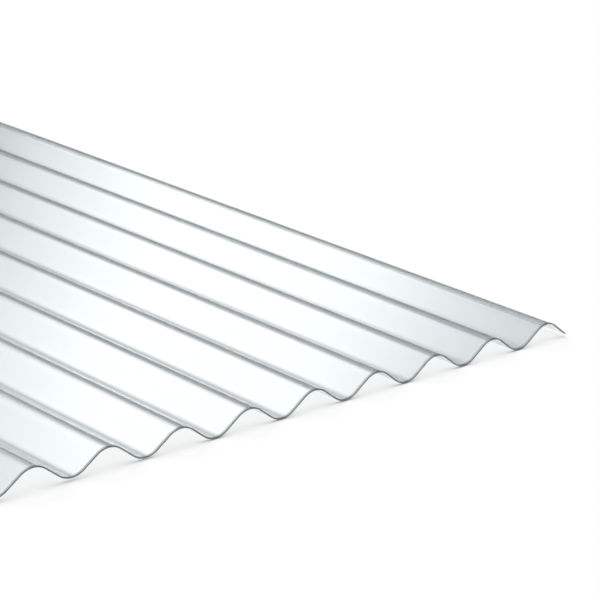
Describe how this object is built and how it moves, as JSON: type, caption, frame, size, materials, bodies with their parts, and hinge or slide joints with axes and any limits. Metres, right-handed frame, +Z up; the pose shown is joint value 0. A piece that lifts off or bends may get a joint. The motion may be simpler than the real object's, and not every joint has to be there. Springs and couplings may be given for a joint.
{
  "type": "corrugated polycarbonate sheet",
  "caption": "Clear corrugated polycarbonate roofing sheet with a round sine-wave profile, trimmed straight at its ends and long edges.",
  "frame": {"origin": "on the floor under the middle of the sheet, in a valley of the wave", "axes": "+Y along the corrugations, +X across them, +Z up out of the upper face; -Y is the cut end nearest the viewer in the picture"},
  "size_m": [1.045, 2, 0.019],
  "materials": {
    "clear_polycarbonate": "clear extruded polycarbonate, glossy on both faces, faint grey-green tint that shows on edge"
  },
  "bodies": {
    "root": {"corrugated_sheet": "clear_polycarbonate"}
  },
  "joints": []
}
